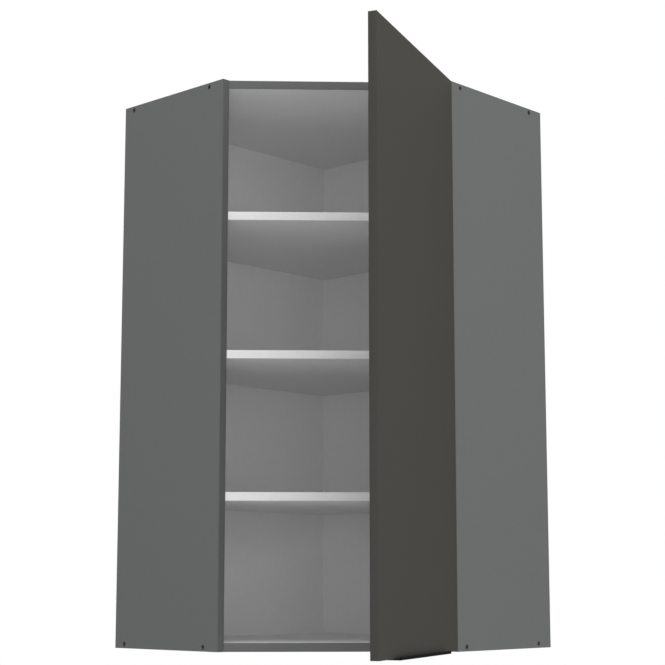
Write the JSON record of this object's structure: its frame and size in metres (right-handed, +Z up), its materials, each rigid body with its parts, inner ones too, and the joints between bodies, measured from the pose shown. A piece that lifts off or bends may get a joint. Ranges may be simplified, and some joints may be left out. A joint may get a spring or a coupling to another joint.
{
  "type": "corner wall cabinet",
  "caption": "Tall corner wall cabinet with a diagonal front, shelves, and a side-hung door with an edge pull along its lower edge, shown open.",
  "frame": {"origin": "the room corner at the cabinet's underside, where the two wall-side faces meet", "axes": "+Z up; the right room wall is the plane Y = 0 and the left room wall the plane X = 0; the cabinet lies on +X and -Y, its diagonal front facing +X -Y"},
  "size_m": [0.7613, 0.6946, 1.08],
  "materials": {
    "outer_board": "satin grey melamine outside, light melamine inside",
    "inner_board": "light melamine",
    "back_sheet": "light painted hardboard",
    "door_board": "dark grey laminate",
    "dark_band": "dark grey edge band",
    "door_band": "dark grey edge band",
    "light_band": "light edge band",
    "black_metal": "black powder coat",
    "steel": "zinc-plated steel",
    "zinc": "nickel-plated die-cast zinc",
    "white_plastic": "moulded plastic",
    "dark_steel": "blackened steel",
    "bare_wood": "beech",
    "soft_clear": "translucent soft plastic"
  },
  "bodies": {
    "carcass": {"right_side_panel": "outer_board", "left_side_panel": "outer_board", "side_edge_bands": "dark_band", "bottom_panel": "outer_board", "top_panel": "outer_board", "floor_edge_bands": "dark_band", "right_back_board": "inner_board", "left_back_sheet": "back_sheet", "shelf_lower": "inner_board", "shelf_middle": "inner_board", "shelf_upper": "inner_board", "shelf_edge_bands": "light_band", "shelf_pins": "steel", "panel_screws": "dark_steel", "joint_dowels": "bare_wood", "back_sheet_nails": "steel", "hanger_bodies": "zinc", "hanger_hooks": "steel", "hanger_covers": "white_plastic", "hanger_screws": "steel", "hanger_adjusters": "steel", "hinge_plates": "zinc", "hinge_plate_screws": "steel", "hinge_arms": "steel", "hinge_arm_screws": "steel"},
    "door": {"door_panel": "door_board", "door_edge_bands": "door_band", "hinge_straps": "steel", "hinge_pins": "steel", "hinge_rivets": "steel", "hinge_cups": "zinc", "hinge_cup_screws": "steel", "door_handle": "black_metal", "handle_screws": "steel", "door_bumpers": "soft_clear"}
  },
  "joints": [
    {"name": "door_hinge", "type": "hinge", "parent": "carcass", "child": "door", "pos_m": [0.5933, -0.2935, 0.5], "axis": [0, 0, 1], "range_deg": [-66.2, 33.8]}
  ]
}
